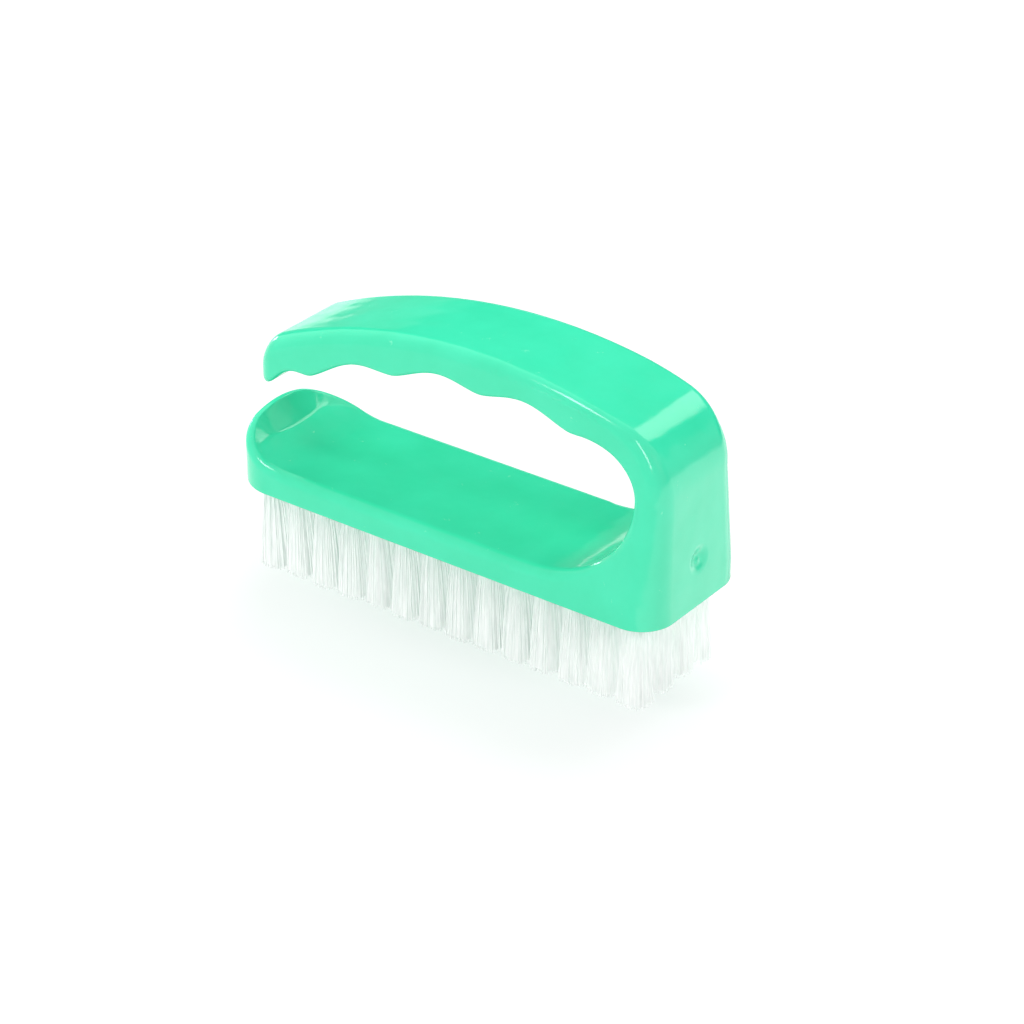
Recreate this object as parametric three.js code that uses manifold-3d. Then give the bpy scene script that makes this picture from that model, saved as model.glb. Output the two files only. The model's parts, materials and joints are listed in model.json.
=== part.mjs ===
// Nail brush with an open loop handle.
// Millimetres, +Z up. The origin is on the plane of the bristle tips, under the middle of the block.
// +X points to the post, -X to the raised lip, and the finger gap runs through along Y.

import * as THREE from 'three';
import { mergeVertices } from 'three/addons/utils/BufferGeometryUtils.js';
import Module from 'manifold-3d';

const wasm = await Module();
wasm.setup();

// Block that carries the bristles
const blockLength = 90;
const blockWidth = 27.6;
const holeFloor = 1.5; // plastic between the tuft holes and the deck
const noseRadius = 8.5; // plan corners at the lip
const heelRadius = 6.2; // plan corners under the post
const deckEdgeRadius = 1.9;

// Raised lip round the nose of the block
const lipRise = 6.1; // above the deck, at the middle of the nose
const lipRun = 23.5; // along the outline, from the middle of the nose to where the lip dies out
const lipWall = 1.5;
const lipFoot = 5.2; // width of the inner face of the wall, down to the deck
const lipFootPower = 1.25; // above 1 the face is hollow
const lipEdgeRadius = 0.9;

// Handle: a band under a round arch, with finger grooves below
const gapHeight = 26.2; // deck to the crest of the knuckles
const handleThickness = 6.9; // at the knuckles
const handleWidth = 21; // at the shoulder
const tipWidth = 20.2;
const archRadius = 107;
const archCrestX = 7.2;
const knuckleRadius = 102;
const knuckleCrestX = 10;
const handleTopEdge = 1.8; // at the shoulder
const tipTopEdge = 3.3; // fuller towards the free end
const tipTopShare = 0.6; // of the height at the tip, at most
const tipUnderShare = 0.3;
const handleUnderEdge = 0.8;
const tipSetback = 3.9; // free end of the handle, behind the nose of the block
const tipTopRadius = 6;
const tipBeakRadius = 1.9;
const tipPlanRadius = 4;
const fingerCount = 3;
const fingerPitch = 18.1;
const fingerDepth = 1.65;
const fingerFullness = 0.8; // below 1 the grooves are fuller than a plain wave
const firstKnuckleRun = 13.7; // from the inner face of the post
const notchDepth = 1.7; // short notch between the last knuckle and the tip

// Post between block and handle
const postThickness = 5.5;
const shoulderRadius = 12.2;
const postEdgeRadius = 4.6; // its upright edges, at the shoulder
const gapFootRun = 20.5; // lower corner of the finger gap, along X
const gapFootRise = 16.8; // lower corner of the finger gap, along Z
const gapHeadRun = 11.3; // upper corner of the finger gap, along X
const gapEdgeRadius = 1.2;
const postDraft = 0.027; // lean of the end face, along X for each unit of height
const flareRise = 23.8; // above the deck, where the sides reach the handle's width
const flareDrop = 1.3; // below the deck, where the sides reach the block's width
const gateDiameter = 4.8; // shallow dimple of the moulding gate, on the end face
const gateRise = 3.5; // above the deck
const gateDepth = 0.5;
const gateSlope = 0.5; // its edge, in from the diameter

// Bristles, in tufts, each flared from its hole
const bristleLength = 16.1; // free length below the block
const tuftColumns = 14;
const tuftRows = 4;
const tuftEndInset = 6.2; // outer tuft centres, from the ends of the block
const tuftSideInset = 5; // outer tuft centres, from its sides
const strandsPerRing = 6; // round one strand in the middle
const strandRootRadius = 0.38;
const strandTipRadius = 0.65;
const strandRootRing = 0.66;
const strandTipRing = 1.55;
const tipTrim = 0.5; // cut off flat at the tips

// Slices of backing that carry two rows of tufts each
const sliceThickness = 1.2;
const sliceMargin = 1.8; // beyond the outer tuft centres
const sliceCorner = 2;
const sliceRows = 2;

// Blind holes, tuft roots and the flat wire anchors across them
const holeDiameter = 2.4;
const rootNeck = 0.5; // slice to the window for the anchor
const rootCover = 0.3; // fold of the tuft over its anchor
const anchorBite = 0.3; // into the wall of the hole at each end
const anchorHeight = 0.9;
const anchorThickness = 0.4;
const anchorTurn = Math.PI / 4;
const seatGap = 0.3; // slice in its pocket, root in its hole
const anchorGap = 0.2; // anchor in its window and notches
const fuse = 0.3; // depth that joined forms share
const weld = 1e-4; // points closer than this are one

// Places worked out from the sizes above
const underZ = bristleLength;
const sliceTopZ = underZ + sliceThickness;
const windowHeight = anchorHeight + 2 * anchorGap;
const anchorZ = sliceTopZ + rootNeck + windowHeight / 2;
const rootTopZ = anchorZ + windowHeight / 2 + rootCover;
const holeTopZ = rootTopZ + seatGap;
const deckZ = holeTopZ + holeFloor;
const knuckleZ = deckZ + gapHeight;
const crestZ = knuckleZ + handleThickness;
const endX = blockLength / 2;
const noseX = -endX;
const tipX = noseX + tipSetback;
const gapEndX = endX - postThickness;
const gapMidZ = deckZ + gapFootRise;
const gapFootX = gapEndX - gapFootRun;
const gapHeadX = gapEndX - gapHeadRun;
const firstKnuckleX = gapEndX - firstKnuckleRun;
const lastKnuckleX = firstKnuckleX - fingerCount * fingerPitch;
const noseCornerX = noseX + noseRadius;
const noseCornerY = blockWidth / 2 - noseRadius;
const noseCornerRun = noseRadius * Math.PI / 2;
const lipEndX = noseCornerX + lipRun - noseCornerY - noseCornerRun;
const anchorLength = holeDiameter + 2 * anchorBite;
const columnPitch = (blockLength - 2 * tuftEndInset) / (tuftColumns - 1);
const rowPitch = (blockWidth - 2 * tuftSideInset) / (tuftRows - 1);

const mintPlastic = new THREE.MeshStandardMaterial({ color: 0x3fe9b0, roughness: 0.22, metalness: 0 });
const whiteNylon = new THREE.MeshStandardMaterial({ color: 0xf1f6f4, roughness: 0.45, metalness: 0 });
const anchorBrass = new THREE.MeshStandardMaterial({ color: 0xc9a64b, roughness: 0.35, metalness: 1 });

// Drop of a quarter-round edge at a depth in from the face that it rounds
function roundDrop(radius, depth) {
  const reach = THREE.MathUtils.clamp(radius - depth, 0, radius);
  return radius - Math.sqrt(radius * radius - reach * reach);
}

// Depths 0 to radius that share a quarter round out evenly
function roundDepths(radius, count) {
  return Array.from({ length: count }, (_, k) => radius * (1 - Math.cos((k / (count - 1)) * Math.PI / 2)));
}

function arcDrop(radius, run) {
  return radius - Math.sqrt(radius * radius - run * run);
}

function handleTopZ(x) {
  return crestZ - arcDrop(archRadius, x - archCrestX) - roundDrop(tipTopRadius, x - tipX);
}

function wave(turns) {
  return Math.pow(0.5 - 0.5 * Math.cos(2 * Math.PI * turns), fingerFullness);
}

function handleUnderZ(x) {
  const notchRun = lastKnuckleX - tipX - tipBeakRadius;
  const groove = x > lastKnuckleX
    ? fingerDepth * wave((x - lastKnuckleX) / fingerPitch)
    : notchDepth * wave(Math.min((lastKnuckleX - x) / notchRun, 1));
  return knuckleZ - arcDrop(knuckleRadius, x - knuckleCrestX) + groove + roundDrop(tipBeakRadius, x - tipX);
}

function handleHalfWidth(x) {
  const taper = THREE.MathUtils.inverseLerp(tipX, gapHeadX, x);
  return THREE.MathUtils.lerp(tipWidth, handleWidth, taper) / 2 - roundDrop(tipPlanRadius, x - tipX);
}

// Edges of the handle, as full as the tip has room for
function handleEdges(x) {
  const taper = THREE.MathUtils.inverseLerp(tipX, gapHeadX, x);
  const height = handleTopZ(x) - handleUnderZ(x);
  return {
    topEdge: Math.min(THREE.MathUtils.lerp(tipTopEdge, handleTopEdge, taper), tipTopShare * height),
    underEdge: Math.min(handleUnderEdge, tipUnderShare * height),
  };
}

function sideAtHeight(z) {
  const flare = THREE.MathUtils.clamp((deckZ + flareRise - z) / (flareRise + flareDrop), 0, 1);
  return THREE.MathUtils.lerp(handleWidth / 2, blockWidth / 2, flare);
}

// Nose of the block in plan: the outline's half width at x
function noseHalfWidth(x) {
  return blockWidth / 2 - roundDrop(noseRadius, x - noseX);
}

// Distance in from the outline, and the run along it from the middle of the nose
function noseOutline(x, y) {
  const across = Math.abs(y);
  if (across <= noseCornerY && x <= noseCornerX + noseCornerY - across) {
    return { depth: x - noseX, run: across };
  }
  if (x >= noseCornerX) {
    return { depth: blockWidth / 2 - across, run: noseCornerY + noseCornerRun + x - noseCornerX };
  }
  const angle = Math.atan2(Math.max(across - noseCornerY, 0), noseCornerX - x);
  const depth = noseRadius - Math.hypot(noseCornerX - x, across - noseCornerY);
  return { depth, run: noseCornerY + noseRadius * angle };
}

function lipHeight(run) {
  return run < lipRun ? lipRise * (0.5 + 0.5 * Math.cos(Math.PI * run / lipRun)) : 0;
}

// The upper edge of the wall is tighter where the lip is high
function deckEdgeAt(run) {
  return THREE.MathUtils.lerp(deckEdgeRadius, lipEdgeRadius, Math.sqrt(lipHeight(run) / lipRise));
}

// The deck ramps up to the wall, level across, as high as the rim at the sides
function deckTopZ(x, y) {
  const { depth, run } = noseOutline(x, y);
  const face = THREE.MathUtils.clamp((lipWall + lipFoot - depth) / lipFoot, 0, 1) ** lipFootPower;
  const ramp = lipHeight(lipRun - lipEndX + x);
  return deckZ + Math.max(lipHeight(run) * face, ramp) - roundDrop(deckEdgeAt(run), depth);
}

// Sections of the body. Each ring has one side from the outer face to the inner face, the columns across
// the inner face, and the same on the other side. The columns fall together where there is no lip.
const edgeSteps = 4;
const lipColumns = [0.1, 0.24, 0.39, 0.6, 0.8, 1].map((share) => share * (lipWall + lipFoot));

function ringFromSide(side, columns) {
  const half = [...side, ...columns];
  const far = half.map(([x, y, z]) => new THREE.Vector3(x, y, z));
  const near = half.map(([x, y, z]) => new THREE.Vector3(x, -y, z)).reverse();
  return [...far, ...near];
}

// A section between a point of the outer face and one of the inner face, with its edges rounded
function bandRing({ outer, inner, outerDepths, outerEdge, innerEdge, innerSlant, halfWidth }) {
  const length = outer.distanceTo(inner);
  const innerDepths = roundDepths(innerEdge, edgeSteps).reverse();
  const steps = outerDepths.map((depth) => ({ along: depth }));
  steps.push({ along: (outerDepths.at(-1) + length - innerEdge / innerSlant) / 2 });
  innerDepths.forEach((depth) => {
    steps.push({ along: length - depth / innerSlant, cut: roundDrop(innerEdge, depth) });
  });
  const side = steps.map(({ along, cut = 0 }) => {
    const place = outer.clone().lerp(inner, along / length);
    return [place.x, halfWidth(place.x, place.y) - cut - outerEdge(place.x, place.y), place.y];
  });
  return ringFromSide(side, new Array(lipColumns.length + 1).fill(side.at(-1)));
}

// Upright sections through the free length of the handle
function handleRings() {
  const tipStepCount = 6;
  const straightSteps = 33;
  const tipSteps = roundDepths(tipPlanRadius, tipStepCount).map((depth) => tipX + depth);
  const start = tipX + tipPlanRadius;
  const straight = Array.from({ length: straightSteps }, (_, i) =>
    THREE.MathUtils.lerp(start, gapHeadX, (i + 1) / straightSteps));
  return [...tipSteps, ...straight].map((x) => {
    const { topEdge, underEdge } = handleEdges(x);
    return bandRing({
      outer: new THREE.Vector2(x, handleTopZ(x)),
      inner: new THREE.Vector2(x, handleUnderZ(x)),
      outerDepths: roundDepths(topEdge, edgeSteps),
      outerEdge: (_, z) => roundDrop(topEdge, handleTopZ(x) - z),
      innerEdge: underEdge,
      innerSlant: 1,
      halfWidth: () => handleHalfWidth(x),
    });
  });
}

// Outer face from the arch over the shoulder, by the run along it from above the head of the gap
const shoulderX = endX - shoulderRadius;
const shoulderZ = crestZ - archRadius
  + Math.sqrt((archRadius - shoulderRadius) ** 2 - (shoulderX - archCrestX) ** 2);
const shoulderAngle = Math.asin((shoulderX - archCrestX) / (archRadius - shoulderRadius));
const headAngle = Math.asin((gapHeadX - archCrestX) / archRadius);
const archRun = archRadius * (shoulderAngle - headAngle);
const shoulderRun = shoulderRadius * (Math.PI / 2 - shoulderAngle);
const headRun = archRun + shoulderRun + shoulderZ - gapMidZ;

function shoulderPoint(run) {
  if (run < archRun) {
    const angle = headAngle + run / archRadius;
    return {
      place: new THREE.Vector2(archCrestX + archRadius * Math.sin(angle),
        crestZ - archRadius + archRadius * Math.cos(angle)),
      angle,
    };
  }
  const angle = Math.min(shoulderAngle + (run - archRun) / shoulderRadius, Math.PI / 2);
  const below = Math.max(run - archRun - shoulderRun, 0);
  return {
    place: new THREE.Vector2(shoulderX + shoulderRadius * Math.sin(angle),
      shoulderZ + shoulderRadius * Math.cos(angle) - below),
    angle,
  };
}

// Slanted sections through the shoulder, down to the widest part of the gap
function shoulderRings() {
  const count = 11;
  const rise = handleUnderZ(gapHeadX) - gapMidZ;
  return Array.from({ length: count }, (_, i) => {
    const share = (i + 1) / count;
    const turn = share * Math.PI / 2;
    const { place: outer, angle } = shoulderPoint(share * headRun);
    const inner = new THREE.Vector2(gapHeadX + gapHeadRun * Math.sin(turn), gapMidZ + rise * Math.cos(turn));
    const outward = new THREE.Vector2(Math.sin(angle), Math.cos(angle));
    const slant = outer.clone().sub(inner).normalize().dot(outward);
    const edge = THREE.MathUtils.lerp(handleTopEdge, postEdgeRadius, share * share);
    return bandRing({
      outer,
      inner,
      outerDepths: roundDepths(edge, edgeSteps).map((depth) => depth / slant),
      outerEdge: (x, z) => roundDrop(edge, outer.clone().sub(new THREE.Vector2(x, z)).dot(outward)),
      innerEdge: THREE.MathUtils.lerp(handleUnderEdge, gapEdgeRadius, share),
      innerSlant: slant,
      halfWidth: (_, z) => sideAtHeight(z),
    });
  });
}

function gapFootPoint(turn) {
  return new THREE.Vector2(gapFootX + gapFootRun * Math.cos(turn), gapMidZ - gapFootRise * Math.sin(turn));
}

function gapFootSlant(turn, outer, inner) {
  const normal = new THREE.Vector2(Math.cos(turn) / gapFootRun, -Math.sin(turn) / gapFootRise).normalize();
  return outer.clone().sub(inner).normalize().dot(normal);
}

// Slanted sections down the post to its bottom corner, then back along the underside of the block
function postRings() {
  const downCount = 9;
  const backCount = 12;
  const cornerTurn = Math.PI / 4;
  const corner = new THREE.Vector2(endX, underZ);
  const rings = [];
  for (let i = 1; i <= downCount; i += 1) {
    const share = i / downCount;
    const turn = share * cornerTurn;
    const outer = new THREE.Vector2(endX, THREE.MathUtils.lerp(gapMidZ, underZ, share));
    const inner = gapFootPoint(turn);
    const level = (endX - inner.x) / outer.distanceTo(inner);
    const edge = THREE.MathUtils.lerp(postEdgeRadius, heelRadius, share);
    rings.push(bandRing({
      outer,
      inner,
      outerDepths: roundDepths(edge, edgeSteps).map((depth) => depth * Math.min(1 / level, Math.SQRT2)),
      outerEdge: (x) => roundDrop(edge, endX - x),
      innerEdge: THREE.MathUtils.lerp(gapEdgeRadius, deckEdgeRadius, share / 2),
      innerSlant: gapFootSlant(turn, outer, inner),
      halfWidth: (_, z) => sideAtHeight(z),
    }));
  }
  for (let i = 1; i <= backCount; i += 1) {
    const share = i / backCount;
    const turn = THREE.MathUtils.lerp(cornerTurn, Math.PI / 2, share);
    const outer = new THREE.Vector2(THREE.MathUtils.lerp(corner.x, gapFootX, share * share), underZ);
    const inner = gapFootPoint(turn);
    const reach = Math.max(heelRadius - (endX - outer.x), fuse);
    const room = outer.distanceTo(inner) / 2;
    rings.push(bandRing({
      outer,
      inner,
      outerDepths: roundDepths(reach, edgeSteps).map((depth) => Math.min(depth * Math.SQRT2, room)),
      outerEdge: (x) => roundDrop(heelRadius, endX - x),
      innerEdge: THREE.MathUtils.lerp(gapEdgeRadius, deckEdgeRadius, (1 + share) / 2),
      innerSlant: gapFootSlant(turn, outer, inner),
      halfWidth: (_, z) => sideAtHeight(z),
    }));
  }
  return rings;
}

// Upright sections along the block to its nose, with the lip standing on the deck
function blockRings() {
  const deckStepCount = 4;
  const lipStepCount = 11;
  const lipStepGrowth = 1.6; // steps grow away from the nose
  const lipEdgeX = noseX + lipEdgeRadius;
  const deckSteps = Array.from({ length: deckStepCount }, (_, i) =>
    THREE.MathUtils.lerp(gapFootX, lipEndX, (i + 1) / deckStepCount));
  const lipSteps = Array.from({ length: lipStepCount - 1 }, (_, i) =>
    THREE.MathUtils.lerp(lipEdgeX, lipEndX, ((lipStepCount - 1 - i) / lipStepCount) ** lipStepGrowth));
  const edgeX = roundDepths(lipEdgeRadius, edgeSteps).reverse().map((depth) => noseX + depth);
  const columnRoom = 1.15; // half width over the reach of the columns, at least
  return [...deckSteps, ...lipSteps, ...edgeX].map((x) => {
    const half = noseHalfWidth(x);
    const { run } = noseOutline(x, half);
    const edge = deckEdgeAt(run);
    const wallTop = deckTopZ(x, half);
    const side = roundDepths(fuse, edgeSteps).map((depth) => [x, half, underZ + depth]);
    side.push([x, half, (underZ + fuse + wallTop) / 2]);
    const insets = roundDepths(edge, edgeSteps).map((depth) => roundDrop(edge, depth)).reverse();
    const spread = Math.min(1, half / (columnRoom * (edge + lipColumns.at(-1))));
    const top = [...insets, ...lipColumns.map((inset) => edge + inset)].map((inset) => half - inset * spread);
    top.forEach((y) => side.push([x, y, deckTopZ(x, y)]));
    return ringFromSide(side, [[x, 0, deckTopZ(x, 0)]]);
  });
}

// The draft of the mould leans the post in towards its top
function leanPost(point) {
  const share = THREE.MathUtils.clamp(THREE.MathUtils.inverseLerp(gapFootX, endX, point.x), 0, 1);
  point.x -= postDraft * (point.z - underZ) * share * share;
}

// Closed skin over a row of rings, with flat ends
function skin(rings) {
  const size = rings[0].length;
  const index = [];
  for (let i = 0; i + 1 < rings.length; i += 1) {
    for (let k = 0; k < size; k += 1) {
      const a = i * size + k;
      const b = i * size + ((k + 1) % size);
      index.push(a, b + size, b, a, a + size, b + size);
    }
  }
  const points = rings.flat();
  const cap = (ring, first, atStart) => {
    const centre = points.length;
    points.push(ring.reduce((sum, point) => sum.add(point), new THREE.Vector3()).divideScalar(size));
    for (let k = 0; k < size; k += 1) {
      const a = first + k;
      const b = first + ((k + 1) % size);
      index.push(centre, atStart ? a : b, atStart ? b : a);
    }
  };
  cap(rings[0], 0, true);
  cap(rings.at(-1), (rings.length - 1) * size, false);
  const geometry = new THREE.BufferGeometry().setFromPoints(points);
  geometry.setIndex(index);
  return geometry;
}

// Closed meshes in and out of the solid modeller
function solid(geometry) {
  const bare = geometry.clone();
  bare.deleteAttribute('normal');
  bare.deleteAttribute('uv');
  const merged = mergeVertices(bare, weld);
  const faces = [];
  for (let i = 0; i < merged.index.count; i += 3) {
    const [a, b, c] = merged.index.array.slice(i, i + 3);
    if (a !== b && b !== c && c !== a) faces.push(a, b, c);
  }
  return new wasm.Manifold(new wasm.Mesh({
    numProp: 3,
    vertProperties: new Float32Array(merged.attributes.position.array),
    triVerts: new Uint32Array(faces),
  }));
}

function meshOf(name, body, material) {
  const { vertProperties, triVerts } = body.getMesh();
  const geometry = new THREE.BufferGeometry();
  geometry.setAttribute('position', new THREE.BufferAttribute(new Float32Array(vertProperties), 3));
  geometry.setIndex(new THREE.BufferAttribute(new Uint32Array(triVerts), 1));
  geometry.computeVertexNormals();
  const mesh = new THREE.Mesh(geometry, material);
  mesh.name = name;
  return mesh;
}

function extrudeUp(shape, bottomZ, topZ, curveSegments = 4) {
  const depth = topZ - bottomZ;
  const geometry = new THREE.ExtrudeGeometry(shape, { depth, bevelEnabled: false, curveSegments });
  return geometry.translate(0, 0, bottomZ);
}

function roundedRectangle(x0, y0, x1, y1, radius) {
  const shape = new THREE.Shape();
  shape.moveTo(x0 + radius, y0);
  shape.lineTo(x1 - radius, y0).absarc(x1 - radius, y0 + radius, radius, -Math.PI / 2, 0, false);
  shape.lineTo(x1, y1 - radius).absarc(x1 - radius, y1 - radius, radius, 0, Math.PI / 2, false);
  shape.lineTo(x0 + radius, y1).absarc(x0 + radius, y1 - radius, radius, Math.PI / 2, Math.PI, false);
  shape.lineTo(x0, y0 + radius).absarc(x0 + radius, y0 + radius, radius, Math.PI, 1.5 * Math.PI, false);
  return shape;
}

// Places of the tufts, by row
const columnX = (column) => (column - (tuftColumns - 1) / 2) * columnPitch;
const rowY = (row) => (row - (tuftRows - 1) / 2) * rowPitch;
const tuftPlaces = [];
for (let row = 0; row < tuftRows; row += 1) {
  for (let column = 0; column < tuftColumns; column += 1) {
    tuftPlaces.push({ row, column, x: columnX(column), y: rowY(row) });
  }
}

// Blind hole with a notch on each side, where the anchor bites into the wall
function anchorHole() {
  const radius = holeDiameter / 2;
  const notchHalf = anchorThickness / 2 + anchorGap;
  const notchReach = anchorLength / 2 + anchorGap;
  const open = Math.asin(notchHalf / radius);
  const shape = new THREE.Shape();
  shape.moveTo(notchReach, -notchHalf);
  shape.lineTo(notchReach, notchHalf);
  shape.absarc(0, 0, radius, open, Math.PI - open, false);
  shape.lineTo(-notchReach, notchHalf);
  shape.lineTo(-notchReach, -notchHalf);
  shape.absarc(0, 0, radius, Math.PI + open, 2 * Math.PI - open, false);
  return extrudeUp(shape, underZ - fuse, holeTopZ, 3).rotateZ(anchorTurn);
}

// Cutter for the dimple, from its floor to just outside the end face
function gateDimple() {
  const slope = gateSlope / gateDepth;
  const floorRadius = gateDiameter / 2 - gateSlope;
  const outerRadius = gateDiameter / 2 + fuse * slope;
  const height = gateDepth + fuse;
  const gateSides = 20;
  const cutter = new THREE.CylinderGeometry(outerRadius, floorRadius, height, gateSides);
  const gateZ = deckZ + gateRise;
  const faceX = endX - postDraft * (gateZ - underZ);
  cutter.rotateZ(-Math.PI / 2 + Math.atan(postDraft));
  return cutter.translate(faceX - gateDepth + height / 2, 0, gateZ);
}

function buildBody() {
  const rings = [...handleRings(), ...shoulderRings(), ...postRings(), ...blockRings()];
  rings.flat().forEach(leanPost);
  let body = solid(skin(rings));
  const pocketX = columnX(tuftColumns - 1) + sliceMargin + seatGap;
  const pocketY = rowY(tuftRows - 1) + sliceMargin + seatGap;
  const pocket = roundedRectangle(-pocketX, -pocketY, pocketX, pocketY, sliceCorner + seatGap);
  let cutter = solid(extrudeUp(pocket, underZ - fuse, sliceTopZ + seatGap));
  const hole = anchorHole();
  tuftPlaces.forEach(({ x, y }) => {
    cutter = cutter.add(solid(hole.clone().translate(x, y, 0)));
  });
  body = body.subtract(cutter).subtract(solid(gateDimple()));
  return meshOf('moulded_body', body, mintPlastic);
}

// Root of a tuft: the folded bundle in its hole, with a window for the anchor
function tuftRoot() {
  const radius = holeDiameter / 2 - seatGap;
  const rootBottomZ = sliceTopZ - fuse;
  const height = rootTopZ - rootBottomZ;
  const bundleSides = 6;
  const bundle = new THREE.CylinderGeometry(radius, radius, height, bundleSides).rotateX(Math.PI / 2);
  bundle.translate(0, 0, rootBottomZ + height / 2);
  const opening = new THREE.BoxGeometry(holeDiameter, anchorThickness + 2 * anchorGap, windowHeight);
  opening.translate(0, 0, anchorZ);
  return solid(bundle.rotateZ(anchorTurn)).subtract(solid(opening.rotateZ(anchorTurn)));
}

// One three-sided strand at an angle round its tuft, leaning out and cut off level with the others
function strand(x, y, angle, rootRing, tipRing, turn) {
  const rootZ = underZ + fuse;
  const cut = rootZ / (rootZ + tipTrim);
  const corners = (share, z) => [0, 1, 2].map((k) => {
    const ring = THREE.MathUtils.lerp(rootRing, tipRing, share);
    const radius = THREE.MathUtils.lerp(strandRootRadius, strandTipRadius, share);
    const corner = turn + (k * 2 * Math.PI) / 3;
    return new THREE.Vector3(
      x + ring * Math.cos(angle) + radius * Math.cos(corner),
      y + ring * Math.sin(angle) + radius * Math.sin(corner),
      z,
    );
  });
  const geometry = new THREE.BufferGeometry().setFromPoints([...corners(0, rootZ), ...corners(cut, 0)]);
  geometry.setIndex([0, 1, 2, 3, 5, 4, 0, 3, 4, 0, 4, 1, 1, 4, 5, 1, 5, 2, 2, 5, 3, 2, 3, 0]);
  return geometry;
}

// The strands of the ring point a corner at the middle one, which points its own between them
function tuftStrands(x, y) {
  const step = (2 * Math.PI) / strandsPerRing;
  const ring = Array.from({ length: strandsPerRing }, (_, k) =>
    strand(x, y, k * step, strandRootRing, strandTipRing, k * step + Math.PI));
  return [strand(x, y, 0, 0, 0, step / 2), ...ring];
}

function buildTufts(name, rows) {
  const sliceX = columnX(tuftColumns - 1) + sliceMargin;
  const edgeY = (row) => {
    if (row === 0) return rowY(0) - sliceMargin;
    if (row === tuftRows) return rowY(tuftRows - 1) + sliceMargin;
    return (rowY(row - 1) + rowY(row)) / 2;
  };
  const first = rows[0];
  const last = rows.at(-1) + 1;
  const y0 = edgeY(first) + (first > 0 ? seatGap / 2 : 0);
  const y1 = edgeY(last) - (last < tuftRows ? seatGap / 2 : 0);
  let body = solid(extrudeUp(roundedRectangle(-sliceX, y0, sliceX, y1, sliceCorner), underZ, sliceTopZ));
  const root = tuftRoot();
  tuftPlaces.filter(({ row }) => rows.includes(row)).forEach(({ x, y }) => {
    body = body.add(root.translate([x, y, 0]));
    tuftStrands(x, y).forEach((geometry) => {
      body = body.add(solid(geometry));
    });
  });
  return meshOf(name, body, whiteNylon);
}

function buildAnchor({ row, column, x, y }) {
  const plate = new THREE.BoxGeometry(anchorLength, anchorThickness, anchorHeight);
  const mesh = new THREE.Mesh(plate, anchorBrass);
  mesh.name = `anchor_r${row + 1}_c${String(column + 1).padStart(2, '0')}`;
  mesh.position.set(x, y, anchorZ);
  mesh.rotation.z = anchorTurn;
  return mesh;
}

const nailBrush = new THREE.Group();
nailBrush.name = 'nail_brush';
nailBrush.add(buildBody());
for (let row = 0; row < tuftRows; row += sliceRows) {
  const rows = Array.from({ length: Math.min(sliceRows, tuftRows - row) }, (_, k) => row + k);
  nailBrush.add(buildTufts(`tufts_rows_${rows.map((r) => r + 1).join('_')}`, rows));
}
const anchors = new THREE.Group();
tuftPlaces.forEach((place) => anchors.add(buildAnchor(place)));
nailBrush.add(anchors);

export default nailBrush;
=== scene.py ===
import json
import math
import random

import bpy
import bmesh
from mathutils import Matrix, Vector
from mathutils.geometry import tessellate_polygon

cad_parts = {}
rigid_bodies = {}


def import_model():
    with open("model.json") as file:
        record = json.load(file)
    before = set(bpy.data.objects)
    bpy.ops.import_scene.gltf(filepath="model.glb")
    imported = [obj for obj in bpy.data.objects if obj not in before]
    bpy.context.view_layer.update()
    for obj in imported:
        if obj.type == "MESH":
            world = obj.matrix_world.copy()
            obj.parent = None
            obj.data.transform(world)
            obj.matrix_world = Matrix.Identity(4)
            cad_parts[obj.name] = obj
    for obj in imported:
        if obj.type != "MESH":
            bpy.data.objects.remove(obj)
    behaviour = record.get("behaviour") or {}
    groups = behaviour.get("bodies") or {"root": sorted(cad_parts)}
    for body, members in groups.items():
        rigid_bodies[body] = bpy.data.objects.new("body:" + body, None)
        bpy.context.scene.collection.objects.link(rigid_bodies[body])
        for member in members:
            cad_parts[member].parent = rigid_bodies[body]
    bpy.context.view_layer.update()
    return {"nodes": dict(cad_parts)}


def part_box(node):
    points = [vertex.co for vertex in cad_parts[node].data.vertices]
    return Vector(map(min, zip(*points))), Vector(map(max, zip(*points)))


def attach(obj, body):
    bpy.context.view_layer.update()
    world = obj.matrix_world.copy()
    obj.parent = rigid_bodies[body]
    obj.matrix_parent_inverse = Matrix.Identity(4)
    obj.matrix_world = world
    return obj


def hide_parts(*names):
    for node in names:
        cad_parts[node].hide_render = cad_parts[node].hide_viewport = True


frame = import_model()
mm = 0.001  # the scene is in metres, the sizes below are in millimetres

bodyLow, bodyHigh = (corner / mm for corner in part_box("moulded_body"))
anchorNames = sorted(name for name in frame["nodes"] if name.startswith("anchor_"))
print("frame loaded:", len(frame["nodes"]), "nodes")


# Small helpers

def lerp(a, b, share):
    return a + (b - a) * share


def clamp(value, low, high):
    return max(low, min(high, value))


def hexLinear(code):
    parts = [int(code[i:i + 2], 16) / 255 for i in (0, 2, 4)]
    linear = [c / 12.92 if c <= 0.04045 else ((c + 0.055) / 1.055) ** 2.4 for c in parts]
    return (*linear, 1.0)


def perSize(size):
    return 1 / (size * mm)  # texture scale for a pattern of this size in millimetres


def addNode(tree, kind, inputs=None, stops=(), **settings):
    node = tree.nodes.new(kind)
    for name, value in settings.items():
        setattr(node, name, value)
    for socket, value in (inputs or {}).items():
        if isinstance(value, bpy.types.NodeSocket):
            tree.links.new(value, node.inputs[socket])
        else:
            node.inputs[socket].default_value = value
    for number, (place, code) in enumerate(stops):  # of a colour ramp
        node.color_ramp.elements[number].position = place
        node.color_ramp.elements[number].color = hexLinear(code)
    return node


def newMaterial(name):
    material = bpy.data.materials.new(name)
    material.use_nodes = True
    material.node_tree.nodes.clear()
    return material, material.node_tree


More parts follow.
